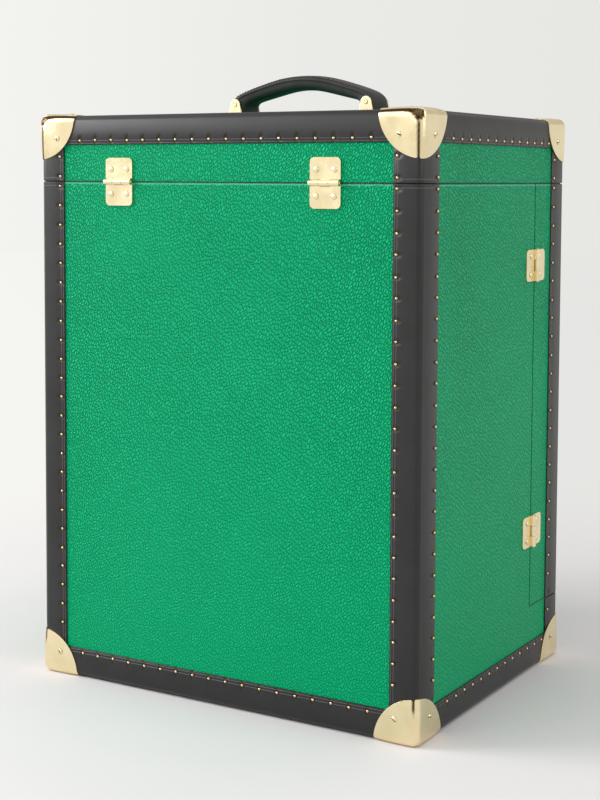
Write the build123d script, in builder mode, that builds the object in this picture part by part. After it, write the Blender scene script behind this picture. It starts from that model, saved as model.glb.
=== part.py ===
"""Travel bar case: a covered plywood case with a lifting lid, a swinging front door and brass fittings.

Millimetres. +Z is up, the front with the door faces -Y, the back with the lid hinges faces +Y and
the door hangs on the -X side. The origin is at the middle of the base, on the surface it stands on.
"""

import os

from build123d import *

os.makedirs("parts", exist_ok=True)

# Driving sizes of the case
case_width = 414
case_depth = 322
case_height = 550
lid_height = 64
door_depth = 70
plinth_height = 65
split_gap = 1
overrun = 10

# Layers of the walls, from the outside in
brass_thickness = 1
binding_thickness = 2
leather_thickness = 1.6
board_thickness = 8
lining_thickness = 1.2

# Black edge binding
binding_width = 28
side_binding_width = 31
binding_radius = 6
leather_bevel = 2

# Brass corner caps
corner_reach = 43
corner_notch = 5
corner_rivet_inset = 22.5

# Heads of rivets and screws: there are nearly fifty, so each has only a few flats
rivet_radius = 3
rivet_height = 1.5
rivet_side_count = 8
rivet_slope = 45

# Hinges, all four alike
hinge_length = 31
hinge_height = 45
hinge_corner = 4.5
leaf_thickness = 1.5
barrel_radius = 2.8
barrel_lift = 0.25
hinge_pin_radius = 1.3
hinge_pin_gap = 0.1
hinge_pin_end = 0.8
pin_side_count = 8
knuckle_gap = 0.3
hinge_rivet_across = 9
hinge_rivet_along = 11.7
lid_hinge_place = 112.5
door_hinge_rise = 77
door_hinge_fall = 80

# Clasps, all three alike
clasp_plate = 1.5
clasp_corner = 3
clasp_base_width = 30
clasp_base_length = 30
clasp_seam = 2
clasp_rivet_across = 9
clasp_rivet_margin = 4
hasp_axis_back = 9
hasp_barrel_radius = 3
hasp_pin_radius = 1.2
hasp_knuckle = 12
hasp_width = 24
hasp_reach = 25
hasp_lip = 3
hasp_gap = 0.3
keeper_width = 20
keeper_start = 6
keeper_length = 17
keeper_height = 7
keeper_slot_width = 8.4
keeper_end_wall = 5
staple_thickness = 2.5
staple_start = 8
staple_length = 8
staple_eye_size = 3.4
staple_eye_height = 4.2
bolt_size = 2.6
bolt_guide_gap = 0.2
bolt_travel = 7
bolt_knob_radius = 2.6
bolt_knob_length = 4

# Carrying handle
pin_span = 149.6
bracket_length = 18
bracket_width = 37
bracket_plate = 2
ear_thickness = 2
ear_top_radius = 5.6
handle_pin_height = 14.5
handle_pin_radius = 2.2
handle_pin_gap = 0.1
handle_pin_end = 0.8
grip_width = 30
grip_thickness = 15
grip_rise = 44.5
grip_foot_gap = 0.6
grip_foot_length = 13
grip_end_length = 19
grip_shoulder_fall = 15
grip_round = 4
grip_edge_bevel = 2.5

# Fittings inside
divider_thickness = 6
divider_height = 140
divider_gap = 0.3
bottle_rows = 2
bottle_columns = 3
shelf_thickness = 6
shelf_height = 345
shelf_front_inset = 4
cleat_size = 12
door_shelf_height = 270
rail_radius = 2.5
rail_lift = 45
rail_inset = 6
rail_plate_size = 14
rail_plate_thickness = 2

# Places that follow from the sizes
half_width = case_width / 2
half_depth = case_depth / 2
case_bottom = brass_thickness
case_top = case_height - brass_thickness
panel_x = half_width - binding_thickness
panel_y = half_depth - binding_thickness
panel_top = case_top - binding_thickness
board_x = panel_x - leather_thickness
board_y = panel_y - leather_thickness
board_bottom = case_bottom + binding_thickness + leather_thickness
board_top = panel_top - leather_thickness
inner_x = board_x - board_thickness
inner_y = board_y - board_thickness
floor_top = board_bottom + board_thickness
ceiling = board_top - board_thickness
lid_split = case_height - lid_height
door_split = door_depth - half_depth
body_top = lid_split - split_gap / 2
lid_bottom = lid_split + split_gap / 2
door_back = door_split - split_gap / 2
body_front = door_split + split_gap / 2
door_bottom = plinth_height + split_gap / 2
plinth_top = plinth_height - split_gap / 2
lined_x = inner_x - lining_thickness
lined_y = inner_y - lining_thickness
lined_floor = floor_top + lining_thickness
hinge_axis_lift = barrel_radius + barrel_lift
door_hinge_low = plinth_height + door_hinge_rise
door_hinge_high = lid_split - door_hinge_fall


def save(piece, label):
    """Name a finished piece and write its STEP file."""
    piece.part.label = label
    export_step(piece.part, f"parts/{label}.step")


def block(x_range, y_range, z_range, mode=Mode.ADD):
    """A box between two planes each way, in whichever block is open."""
    sizes = [high - low for low, high in (x_range, y_range, z_range)]
    middle = [(low + high) / 2 for low, high in (x_range, y_range, z_range)]
    with Locations(tuple(middle)):
        Box(*sizes, mode=mode)


def save_board(label, x_range, y_range, z_range):
    """A rectangular board as a piece of its own."""
    with BuildPart() as board:
        block(x_range, y_range, z_range)
    save(board, label)


# The case is covered whole and then sawn into body, lid and door, so each layer is made once
# as a closed form and kept only in the region of the piece that it stays with.
far_x = half_width + overrun
far_y = half_depth + overrun
far_top = case_height + overrun

with BuildPart() as lid_region:
    block((-far_x, far_x), (-far_y, far_y), (lid_bottom, far_top))

with BuildPart() as door_region:
    block((-far_x, far_x), (-far_y, door_back), (door_bottom, body_top))

with BuildPart() as body_region:
    block((-far_x, far_x), (-far_y, far_y), (-overrun, body_top))
    block((-far_x, far_x), (-far_y, body_front), (plinth_top, body_top), mode=Mode.SUBTRACT)

regions = {"body": body_region, "lid": lid_region, "door": door_region}


def rounded_form(x_reach, y_reach, z_low, z_high, radius):
    """A closed box form whose rounded edges meet in mitres at the corners."""
    middle = (z_low + z_high) / 2
    x_size, y_size, z_size = 2 * x_reach, 2 * y_reach, z_high - z_low
    with BuildPart() as form:
        block((-x_reach, x_reach), (-y_reach, y_reach), (z_low, z_high))
        for side, height, sizes in (
            (Plane.XY, 0, (x_size, y_size)),
            (Plane.YZ, middle, (y_size, z_size)),
            (Plane.XZ, middle, (x_size, z_size)),
        ):
            with BuildSketch(side):
                with Locations((0, height)):
                    RectangleRounded(*sizes, radius)
            extrude(amount=far_top, both=True, mode=Mode.INTERSECT)
    return form.part


outer_form = rounded_form(half_width, half_depth, case_bottom, case_top, binding_radius)

with BuildPart() as leather_form:
    block((-panel_x, panel_x), (-panel_y, panel_y), (case_bottom + binding_thickness, panel_top))
    chamfer(leather_form.edges(), leather_bevel)

with BuildPart() as binding_form:
    add(outer_form)
    add(leather_form.part, mode=Mode.SUBTRACT)
    window_x = (binding_width - half_width, half_width - binding_width)
    window_y = (binding_width - half_depth, half_depth - binding_width)
    side_window_y = (side_binding_width - half_depth, half_depth - side_binding_width)
    window_z = (case_bottom + binding_width, case_top - binding_width)
    block(window_x, (-far_y, far_y), window_z, mode=Mode.SUBTRACT)
    block((-far_x, far_x), side_window_y, window_z, mode=Mode.SUBTRACT)
    block(window_x, window_y, (-overrun, far_top), mode=Mode.SUBTRACT)

with BuildPart() as covering_form:
    add(leather_form.part)
    block((-board_x, board_x), (-board_y, board_y), (board_bottom, board_top), mode=Mode.SUBTRACT)

for owner, region in regions.items():
    with BuildPart() as binding:
        add(binding_form.part)
        add(region.part, mode=Mode.INTERSECT)
    save(binding, f"{owner}_binding")
    with BuildPart() as leather:
        add(covering_form.part)
        add(region.part, mode=Mode.INTERSECT)
    save(leather, f"{owner}_leather")

# Plywood boards of the body. Each side board is one L: it runs forward under the door.
for label, low in (("left_board", -board_x), ("right_board", inner_x)):
    with BuildPart() as side_board:
        block((low, low + board_thickness), (body_front, board_y), (board_bottom, body_top))
        block((low, low + board_thickness), (-board_y, body_front), (board_bottom, plinth_top))
    save(side_board, label)

across = (-inner_x, inner_x)
save_board("back_board", across, (inner_y, board_y), (board_bottom, body_top))
save_board("floor_board", across, (-board_y, inner_y), (board_bottom, floor_top))
save_board("plinth_board", across, (-board_y, -inner_y), (floor_top, plinth_top))

# Boards of the lid
save_board("lid_top_board", (-board_x, board_x), (-board_y, board_y), (ceiling, board_top))
save_board("lid_left_board", (-board_x, -inner_x), (-board_y, board_y), (lid_bottom, ceiling))
save_board("lid_right_board", (inner_x, board_x), (-board_y, board_y), (lid_bottom, ceiling))
save_board("lid_front_board", across, (-board_y, -inner_y), (lid_bottom, ceiling))
save_board("lid_back_board", across, (inner_y, board_y), (lid_bottom, ceiling))

# Boards of the door, which is a shallow tray on edge
door_floor_top = door_bottom + board_thickness
save_board("door_front_board", across, (-board_y, -inner_y), (door_bottom, body_top))
save_board("door_left_board", (-board_x, -inner_x), (-board_y, door_back), (door_bottom, body_top))
save_board("door_right_board", (inner_x, board_x), (-board_y, door_back), (door_bottom, body_top))
save_board("door_bottom_board", across, (-inner_y, door_back), (door_bottom, door_floor_top))

# Suede linings, each one sheet folded into its hollow
with BuildPart() as body_lining:
    block(across, (body_front, inner_y), (floor_top, body_top))
    block(across, (-inner_y, body_front), (floor_top, plinth_top))
    block((-lined_x, lined_x), (-lined_y, lined_y), (lined_floor, far_top), mode=Mode.SUBTRACT)
save(body_lining, "body_lining")

with BuildPart() as lid_lining:
    block(across, (-inner_y, inner_y), (lid_bottom, ceiling))
    lid_lined = (-overrun, ceiling - lining_thickness)
    block((-lined_x, lined_x), (-lined_y, lined_y), lid_lined, mode=Mode.SUBTRACT)
save(lid_lining, "lid_lining")

door_lined_floor = door_floor_top + lining_thickness
with BuildPart() as door_lining:
    block(across, (-inner_y, door_back), (door_floor_top, body_top))
    block((-lined_x, lined_x), (-lined_y, far_y), (door_lined_floor, far_top), mode=Mode.SUBTRACT)
save(door_lining, "door_lining")


def save_group(label, unit, spots):
    """Alike pieces at several places, as one node of separate solids."""
    with BuildPart() as group:
        with Locations(*spots):
            add(unit)
    save(group, label)


# A corner cap in its own frame: the sharp corner is at the origin and the case fills the negative octant
cap_x = half_width + brass_thickness
cap_y = half_depth + brass_thickness
cap_radius = binding_radius + brass_thickness
cap_size = corner_reach + overrun
cap_range = (-cap_size, 0)
quarter_turn = 90

with BuildPart() as corner_cap:
    with Locations((-cap_x, -cap_y, -case_height)):
        add(rounded_form(cap_x, cap_y, 0, case_height, cap_radius))
        add(outer_form, mode=Mode.SUBTRACT)
    block(cap_range, cap_range, cap_range, mode=Mode.INTERSECT)
    for side in (Plane.XY, Plane.YZ, Plane.ZX):
        with BuildSketch(side):
            with Locations((-cap_size / 2, -cap_size / 2)):
                Rectangle(cap_size, cap_size)
            Circle(corner_reach, mode=Mode.SUBTRACT)
        extrude(amount=-cap_radius, mode=Mode.SUBTRACT)
    half_quarter = quarter_turn / 2
    for spot in (
        Location((-corner_reach, 0, 0), (half_quarter, 0, 0)),
        Location((0, -corner_reach, 0), (0, half_quarter, 0)),
        Location((0, 0, -corner_reach), (0, 0, half_quarter)),
    ):
        with Locations(spot):
            Box(corner_notch, corner_notch, corner_notch, mode=Mode.SUBTRACT)

# The places go round from the back right corner; a base cap is a top cap turned upside down
cap_spots = [(cap_x, cap_y), (-cap_x, cap_y), (-cap_x, -cap_y), (cap_x, -cap_y)]
top_caps = [
    Location((x, y, case_height), (0, 0, count * quarter_turn)) for count, (x, y) in enumerate(cap_spots)
]
base_caps = [
    Location((x, y, 0), (2 * quarter_turn, 0, -(count + 1) * quarter_turn))
    for count, (x, y) in enumerate(cap_spots)
]
save_group("top_corners", corner_cap.part, top_caps)
save_group("base_corners", corner_cap.part, base_caps)

with BuildPart() as rivet:
    with BuildSketch():
        RegularPolygon(rivet_radius, rivet_side_count)
    extrude(amount=rivet_height, taper=rivet_slope)

inset = corner_rivet_inset
cap_rivets = [
    Location((-inset, -inset, 0)),
    Location((0, -inset, -inset), (0, quarter_turn, 0)),
    Location((-inset, 0, -inset), (-quarter_turn, 0, 0)),
]

# A hinge in its own frame: X along the pin, Y from the fixed leaf to the moving one, Z outward
knuckle = hinge_length / 3
leaf_reach = hinge_height / 2


def hinge_leaf(side, knuckle_spots, notch_spots):
    """One leaf with its knuckles; side is 1 for the moving leaf and -1 for the fixed one."""
    with BuildPart() as leaf:
        with BuildSketch():
            with Locations((0, side * leaf_reach / 2)):
                Rectangle(hinge_length, leaf_reach)
            outer = leaf_reach / 2
            corners = [point for point in vertices() if side * point.Y > outer]
            fillet(corners, hinge_corner)
        extrude(amount=leaf_thickness)
        for spot in notch_spots:
            with Locations((spot, 0, 0)):
                Box(
                    knuckle + knuckle_gap,
                    2 * (barrel_radius + knuckle_gap),
                    2 * (leaf_thickness + overrun),
                    mode=Mode.SUBTRACT,
                )
        for spot in knuckle_spots:
            with Locations(Location((spot, 0, hinge_axis_lift), (0, quarter_turn, 0))):
                Cylinder(barrel_radius, knuckle - knuckle_gap)
        with BuildSketch(Plane.YZ):
            with Locations((0, hinge_axis_lift)):
                RegularPolygon(hinge_pin_radius + hinge_pin_gap, pin_side_count, major_radius=False)
        extrude(amount=hinge_length, both=True, mode=Mode.SUBTRACT)
    return leaf.part


fixed_leaf = hinge_leaf(-1, [-knuckle, knuckle], [0])
moving_leaf = hinge_leaf(1, [0], [-knuckle, knuckle])

# Pins hidden in knuckles have flats too; their bores clear them all the way round
with BuildPart() as hinge_pin:
    with BuildSketch(Plane.YZ):
        with Locations((0, hinge_axis_lift)):
            RegularPolygon(hinge_pin_radius, pin_side_count)
    extrude(amount=hinge_length / 2 + hinge_pin_end, both=True)

lid_hinges = [
    Plane((x, panel_y, lid_split), x_dir=(-1, 0, 0), z_dir=(0, 1, 0)).location
    for x in (-lid_hinge_place, lid_hinge_place)
]
door_hinges = [
    Plane((-panel_x, door_split, z), x_dir=(0, 0, -1), z_dir=(-1, 0, 0)).location
    for z in (door_hinge_low, door_hinge_high)
]

save_group("lid_hinge_body_leaves", fixed_leaf, lid_hinges)
save_group("lid_hinge_lid_leaves", moving_leaf, lid_hinges)
save_group("door_hinge_body_leaves", fixed_leaf, door_hinges)
save_group("door_hinge_door_leaves", moving_leaf, door_hinges)
save_group("hinge_pins", hinge_pin.part, lid_hinges + door_hinges)

hinge_rivets = {
    side: [
        Location((across_pin, side * hinge_rivet_along, leaf_thickness))
        for across_pin in (-hinge_rivet_across, hinge_rivet_across)
    ]
    for side in (-1, 1)
}

# A clasp in its own frame: X along the split, Y from the door to the keeper, Z outward.
# The hasp turns on the door; its staple drops into the keeper, where the bolt goes through its eye.
hasp_axis_lift = clasp_plate + hasp_gap + hasp_barrel_radius
keeper_end = keeper_start + keeper_length
keeper_plate_end = keeper_end + 2 * rivet_radius + hasp_gap
base_end = clasp_seam + clasp_base_length
outer_knuckle = (clasp_base_width - hasp_knuckle) / 2 - knuckle_gap
outer_knuckle_place = (clasp_base_width - outer_knuckle) / 2


def clipped_outline(width, y_low, y_high, corner):
    """A rectangle with clipped corners, from one distance off the split to another."""
    with BuildSketch() as outline:
        with Locations((0, (y_low + y_high) / 2)):
            Rectangle(width, y_high - y_low)
        chamfer(outline.vertices(), corner)
    return outline.sketch


with BuildPart() as hasp_base:
    extrude(clipped_outline(clasp_base_width, -base_end, -clasp_seam, clasp_corner), clasp_plate)
    for side in (-1, 1):
        with BuildSketch(Plane.YZ.offset(side * outer_knuckle_place)):
            with Locations((-hasp_axis_back, hasp_axis_lift)):
                Circle(hasp_barrel_radius)
            with Locations((-hasp_axis_back, hasp_axis_lift / 2)):
                Rectangle(2 * hasp_barrel_radius, hasp_axis_lift)
        extrude(amount=outer_knuckle / 2, both=True)
    with BuildSketch(Plane.YZ):
        with Locations((-hasp_axis_back, hasp_axis_lift)):
            RegularPolygon(hasp_pin_radius, pin_side_count)
    extrude(amount=outer_knuckle_place, both=True)

hasp_under = keeper_height + hasp_gap
hasp_middle = hasp_under + clasp_plate / 2
hasp_root = hasp_axis_lift + hasp_barrel_radius - clasp_plate / 2

with BuildPart() as hasp:
    with BuildSketch(Plane.YZ):
        with BuildLine():
            Polyline(
                (-hasp_axis_back, hasp_root),
                (-hasp_axis_back + hasp_barrel_radius, hasp_root),
                (0, hasp_middle),
                (hasp_reach, hasp_middle),
                (hasp_reach + hasp_lip, hasp_middle + hasp_lip),
            )
        trace(line_width=clasp_plate)
    extrude(amount=hasp_width / 2, both=True)
    lip_end_edges = hasp.faces().sort_by(Axis.Y)[-1].edges().sort_by(Axis.X)
    chamfer([lip_end_edges[0], lip_end_edges[-1]], clasp_corner)
    for side in (-1, 1):
        clear = (hasp_width - hasp_knuckle) / 2 + knuckle_gap
        with Locations((side * (hasp_width - clear + knuckle_gap) / 2, -hasp_axis_back, hasp_root)):
            Box(
                clear + knuckle_gap,
                2 * (hasp_barrel_radius + knuckle_gap),
                2 * overrun,
                mode=Mode.SUBTRACT,
            )
    with Locations(Location((0, -hasp_axis_back, hasp_axis_lift), (0, quarter_turn, 0))):
        Cylinder(hasp_barrel_radius, hasp_knuckle - knuckle_gap)
    with BuildSketch(Plane.YZ):
        with Locations((-hasp_axis_back, hasp_axis_lift)):
            RegularPolygon(hasp_pin_radius + hinge_pin_gap, pin_side_count, major_radius=False)
    extrude(amount=hasp_width, both=True, mode=Mode.SUBTRACT)
    staple_top = hasp_under
    staple_bottom = clasp_plate + hasp_gap
    staple_middle = staple_start + staple_length / 2
    with BuildSketch(Plane.YZ):
        with Locations((staple_middle, (staple_top + staple_bottom) / 2)):
            Rectangle(staple_length, staple_top - staple_bottom)
        with Locations((staple_middle, staple_eye_height)):
            Rectangle(staple_eye_size, staple_eye_size, mode=Mode.SUBTRACT)
    extrude(amount=staple_thickness / 2, both=True)

half_keeper = keeper_width / 2
half_slot = keeper_slot_width / 2
slot_end = keeper_end - keeper_end_wall
guide_size = bolt_size + 2 * bolt_guide_gap
with BuildPart() as keeper:
    extrude(clipped_outline(clasp_base_width, clasp_seam, keeper_plate_end, clasp_corner), clasp_plate)
    extrude(clipped_outline(keeper_width, keeper_start, keeper_end, clasp_corner / 2), keeper_height)
    block((-half_slot, half_slot), (0, slot_end), (clasp_plate, far_top), mode=Mode.SUBTRACT)
    with Locations((half_keeper, staple_middle, staple_eye_height)):
        Box(keeper_width, guide_size, guide_size, mode=Mode.SUBTRACT)

bolt_tip = half_slot + bolt_guide_gap
knob_start = half_keeper + bolt_travel + bolt_guide_gap
with BuildPart() as bolt:
    with BuildSketch(Plane.YZ.offset(bolt_tip)):
        with Locations((staple_middle, staple_eye_height)):
            Rectangle(bolt_size, bolt_size)
    extrude(amount=knob_start - bolt_tip)
    with BuildSketch(Plane.YZ.offset(knob_start)):
        with Locations((staple_middle, staple_eye_height)):
            RegularPolygon(bolt_knob_radius, pin_side_count)
    extrude(amount=bolt_knob_length)

clasps = {"front": Plane((0, -panel_y, lid_split), x_dir=(1, 0, 0), z_dir=(0, -1, 0)).location}
for name, z in (("lower", door_hinge_low), ("upper", door_hinge_high)):
    clasps[name] = Plane((panel_x, door_split, z), x_dir=(0, 0, -1), z_dir=(1, 0, 0)).location

save_group("clasp_bases", hasp_base.part, list(clasps.values()))
for name, spot in clasps.items():
    save_group(f"{name}_hasp", hasp.part, [spot])
    save_group(f"{name}_bolt", bolt.part, [spot])
save_group("lid_keeper", keeper.part, [clasps["front"]])
save_group("body_keepers", keeper.part, [clasps["lower"], clasps["upper"]])

base_rivets, keeper_rivets = [
    [Location((x, y, clasp_plate)) for x in (-clasp_rivet_across, clasp_rivet_across)]
    for y in (clasp_rivet_margin - base_end, keeper_end + hasp_gap / 2 + rivet_radius)
]


def spread(spots, units):
    """Every unit place at every spot."""
    return [spot * unit for spot in spots for unit in units]


# The caps' undersides stay bare, because the case stands on them
body_rivets = (
    spread(base_caps, cap_rivets[1:])
    + spread(lid_hinges + door_hinges, hinge_rivets[-1])
    + spread([clasps["lower"], clasps["upper"]], keeper_rivets)
)
lid_rivets = (
    spread(top_caps, cap_rivets)
    + spread(lid_hinges, hinge_rivets[1])
    + spread([clasps["front"]], keeper_rivets)
)
door_rivets = spread(door_hinges, hinge_rivets[1]) + spread(clasps.values(), base_rivets)
save_group("body_rivets", rivet.part, body_rivets)
save_group("lid_rivets", rivet.part, lid_rivets)
save_group("door_rivets", rivet.part, door_rivets)

# Handle brackets: a plate with two tapered ears, and the pin across them
bracket_top = panel_top + bracket_plate
pin_height = panel_top + handle_pin_height + bracket_plate
ear_inner = bracket_width / 2 - ear_thickness
half_span = pin_span / 2

with BuildPart() as bracket:
    block(
        (-bracket_length / 2, bracket_length / 2),
        (-bracket_width / 2, bracket_width / 2),
        (panel_top, bracket_top),
    )
    for side in (-1, 1):
        with BuildSketch(Plane.XZ.offset(-side * (ear_inner + ear_thickness / 2))):
            with Locations((0, pin_height)):
                Circle(ear_top_radius)
            with BuildLine():
                Polyline(
                    (-bracket_length / 2, panel_top),
                    (bracket_length / 2, panel_top),
                    (ear_top_radius, pin_height),
                    (-ear_top_radius, pin_height),
                    close=True,
                )
            make_face()
        extrude(amount=ear_thickness / 2, both=True)
    with Locations(Location((0, 0, pin_height), (quarter_turn, 0, 0))):
        Cylinder(handle_pin_radius + handle_pin_gap, bracket_width + overrun, mode=Mode.SUBTRACT)

with BuildPart() as handle_pin:
    with Locations(Location((0, 0, pin_height), (quarter_turn, 0, 0))):
        Cylinder(handle_pin_radius, bracket_width + 2 * handle_pin_end)

handle_ends = [Location((-half_span, 0, 0)), Location((half_span, 0, 0))]
save_group("handle_brackets", bracket.part, handle_ends)
save_group("handle_pins", handle_pin.part, handle_ends)

# The stitched leather grip: an arch with two feet that take the pins
foot_bottom = bracket_top + grip_foot_gap
grip_top = panel_top + grip_rise
grip_under = grip_top - grip_thickness
end_x = half_span + grip_end_length / 2
inner_end_x = half_span - grip_end_length / 2
foot_x = half_span + grip_foot_length / 2
inner_foot_x = half_span - grip_foot_length / 2
shoulder_x = half_span - grip_round / 2
shoulder_z = grip_top - grip_shoulder_fall
spring_x = inner_end_x - grip_round
spring_z = pin_height + grip_round
arch_share = 0.55
arch_fall_share = arch_share**2
crown_x = arch_share * shoulder_x
crown_z = grip_top - arch_fall_share * grip_shoulder_fall
under_x = arch_share * spring_x
under_z = grip_under - arch_fall_share * (grip_under - spring_z)

with BuildPart() as grip:
    with BuildSketch(Plane.XZ):
        with BuildLine():
            ThreePointArc((0, grip_top), (crown_x, crown_z), (shoulder_x, shoulder_z))
            end = (end_x, pin_height + grip_round)
            inner_end = (inner_end_x, pin_height)
            foot = (foot_x, foot_bottom)
            inner_foot = (inner_foot_x, foot_bottom)
            FilletPolyline((shoulder_x, shoulder_z), end, foot, radius=grip_round)
            Line(foot, inner_foot)
            FilletPolyline(inner_foot, inner_end, (spring_x, spring_z), radius=grip_round)
            ThreePointArc((spring_x, spring_z), (under_x, under_z), (0, grip_under))
            mirror(about=Plane.YZ)
        make_face()
    extrude(amount=grip_width / 2, both=True)
    rims = grip.faces().sort_by(Axis.Y)[0].edges() + grip.faces().sort_by(Axis.Y)[-1].edges()
    chamfer(rims, grip_edge_bevel)
    for side in (-1, 1):
        with Locations(Location((side * half_span, 0, pin_height), (quarter_turn, 0, 0))):
            Cylinder(handle_pin_radius + handle_pin_gap, grip_width + overrun, mode=Mode.SUBTRACT)
save(grip, "handle_grip")

# Bottle dividers, halved into each other like an egg crate, behind a low wall
room_front = body_front + divider_thickness
room_depth = lined_y - room_front
room_width = 2 * lined_x
divider_top = lined_floor + divider_height
half_lap = lined_floor + divider_height / 2
row_y = room_front + room_depth / bottle_rows
column_spots = [room_width * (count / bottle_columns) - lined_x for count in range(1, bottle_columns)]
slot_width = divider_thickness + 2 * divider_gap
half_slab = divider_thickness / 2

save_board("tray_wall", (-lined_x, lined_x), (body_front, room_front), (lined_floor, plinth_top))

with BuildPart() as long_divider:
    block((-lined_x, lined_x), (row_y - half_slab, row_y + half_slab), (lined_floor, divider_top))
    for x in column_spots:
        slot_x = (x - slot_width / 2, x + slot_width / 2)
        block(slot_x, (-far_y, far_y), (half_lap, far_top), mode=Mode.SUBTRACT)
save(long_divider, "long_divider")

with BuildPart() as cross_dividers:
    for x in column_spots:
        block((x - half_slab, x + half_slab), (room_front, lined_y), (lined_floor, divider_top))
    slot_y = (row_y - slot_width / 2, row_y + slot_width / 2)
    block((-far_x, far_x), slot_y, (-overrun, half_lap), mode=Mode.SUBTRACT)
save(cross_dividers, "cross_dividers")

shelf_top = shelf_height + shelf_thickness
shelf_y = (body_front + shelf_front_inset, lined_y)
save_board("shelf", (-lined_x, lined_x), shelf_y, (shelf_height, shelf_top))
with BuildPart() as shelf_cleats:
    cleat_z = (shelf_height - cleat_size, shelf_height)
    block((-lined_x, cleat_size - lined_x), shelf_y, cleat_z)
    block((lined_x - cleat_size, lined_x), shelf_y, cleat_z)
save(shelf_cleats, "shelf_cleats")

# Inside the door: a shelf, and a brass rail above each level
door_shelf_top = door_shelf_height + shelf_thickness
door_shelf_y = (-lined_y, door_back - shelf_front_inset)
save_board("door_shelf", (-lined_x, lined_x), door_shelf_y, (door_shelf_height, door_shelf_top))

rail_y = door_back - shelf_front_inset - rail_inset
with BuildPart() as door_rails:
    for level in (door_lined_floor, door_shelf_top):
        with Locations(Location((0, rail_y, level + rail_lift), (0, quarter_turn, 0))):
            Cylinder(rail_radius, room_width)
        for side in (-1, 1):
            with Locations((side * (lined_x - rail_plate_thickness / 2), rail_y, level + rail_lift)):
                Box(rail_plate_thickness, rail_plate_size, rail_plate_size)
save(door_rails, "door_rails")
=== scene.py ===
# %% [markdown]
# # A travel bar case, dressed in Blender
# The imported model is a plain, exact case: boards, covers, hinges and clasps, each where it belongs. This
# lesson puts the looks on it. Every new piece is built in metres in the case's own frame, with its place
# in its mesh, so nothing has to be fitted by eye.

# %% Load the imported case
import math
import random

import bmesh
import bpy
from mathutils import Matrix, Vector


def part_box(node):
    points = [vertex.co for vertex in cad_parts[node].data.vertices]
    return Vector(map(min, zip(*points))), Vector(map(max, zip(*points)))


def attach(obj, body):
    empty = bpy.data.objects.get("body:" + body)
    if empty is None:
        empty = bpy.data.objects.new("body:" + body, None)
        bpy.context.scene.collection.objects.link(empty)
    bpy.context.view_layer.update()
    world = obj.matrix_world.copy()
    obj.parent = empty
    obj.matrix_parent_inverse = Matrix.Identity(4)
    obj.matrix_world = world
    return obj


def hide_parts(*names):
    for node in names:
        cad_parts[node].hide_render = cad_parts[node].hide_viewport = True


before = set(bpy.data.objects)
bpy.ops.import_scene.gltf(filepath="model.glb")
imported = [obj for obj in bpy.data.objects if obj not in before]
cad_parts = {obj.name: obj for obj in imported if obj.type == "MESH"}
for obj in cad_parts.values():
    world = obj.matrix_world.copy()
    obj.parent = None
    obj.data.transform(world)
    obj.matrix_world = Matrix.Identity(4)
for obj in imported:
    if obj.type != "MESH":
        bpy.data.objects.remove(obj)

mm = 0.001
scene = bpy.context.scene
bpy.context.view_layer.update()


def in_mm(*lengths, digits=1):
    """Lengths in millimetres, for the printed lines."""
    return [round(length / mm, digits) for length in lengths]


# %% [markdown]
# ## The camera
# The photograph shows the back and the hinge side, from about the height of the lid. Its lens, place and
# turn were solved from the case's own edges. The lens looks almost level and the picture is shifted down,
# as a studio camera does it, so that upright edges stay upright.

# %% Camera
sensor_width, lens_length = 36, 70.075        # millimetres, as on a real camera
picture_shift = -0.1414                       # a share of the picture's longer side
camera_place = (-0.7925, 1.3370, 0.4900)
camera_turns = (86.011, -0.254, -149.053)     # degrees about x, y and z

camera = bpy.data.objects.new("studio_camera", bpy.data.cameras.new("studio_camera"))
camera.data.sensor_width = sensor_width
camera.data.lens = lens_length
camera.data.shift_y = picture_shift
camera.location = camera_place
camera.rotation_euler = [math.radians(turn) for turn in camera_turns]
scene.collection.objects.link(camera)
scene.camera = camera
print("camera", round(camera.location.length, 3), "m from the foot of the case")

# %% [markdown]
# ## Finishes as node trees
# A finish is a small tree of nodes round one shader. A few helpers keep the trees short. The first feeds a
# socket, either with a plain value or with a link from another node's output, and the second adds a node
# with all its sockets fed. Patterns read Object coordinates, which are the case's own metres, so a grain of
# 2 mm is a scale of 500.

# %% Helpers for finishes
mix_under, mix_over, mixed_colour = 6, 7, 2     # the places of a Mix node's colours among its sockets


def feed(tree, source, target):
    """Give a (node, input) a value, or link it to a source that is a (node, output) pair."""
    socket = target[0].inputs[target[1]]
    if isinstance(source, tuple) and isinstance(source[0], bpy.types.Node):
        tree.links.new(source[0].outputs[source[1]], socket)
    else:
        socket.default_value = source


def add(tree, kind, sockets=(), **settings):
    """A node of that kind with its settings, and its sockets fed by name or number."""
    node = tree.nodes.new("ShaderNode" + kind)
    for key, value in settings.items():
        setattr(node, key, value)
    for key, value in dict(sockets).items():
        feed(tree, value, (node, key))
    return node


def new_finish(name, roughness, metallic=0.0):
    """A material with only its shader and output, and the case's own coordinates."""
    finish = bpy.data.materials.new(name)
    finish.use_nodes = True
    tree = finish.node_tree
    tree.nodes.clear()
    shader = add(tree, "BsdfPrincipled", {"Roughness": roughness, "Metallic": metallic})
    add(tree, "OutputMaterial", {"Surface": (shader, "BSDF")})
    return finish, tree, shader, add(tree, "TexCoord")


def math_of(tree, operation, *values):
    """A Math node over numbers and (node, output) pairs."""
    return add(tree, "Math", enumerate(values), operation=operation), "Value"


def vector_of(tree, operation, *values):
    """A Vector Math node over vectors and (node, output) pairs."""
    return add(tree, "VectorMath", enumerate(values), operation=operation), "Vector"


def parts_of(tree, place):
    """A node with the X, Y and Z of a place."""
    return add(tree, "SeparateXYZ", {"Vector": place})


def noise(tree, place, scale, detail, **more):
    """Cloudy noise from 0 to 1."""
    return add(tree, "TexNoise", {"Vector": place, "Scale": scale, "Detail": detail, **more}), "Fac"


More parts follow.
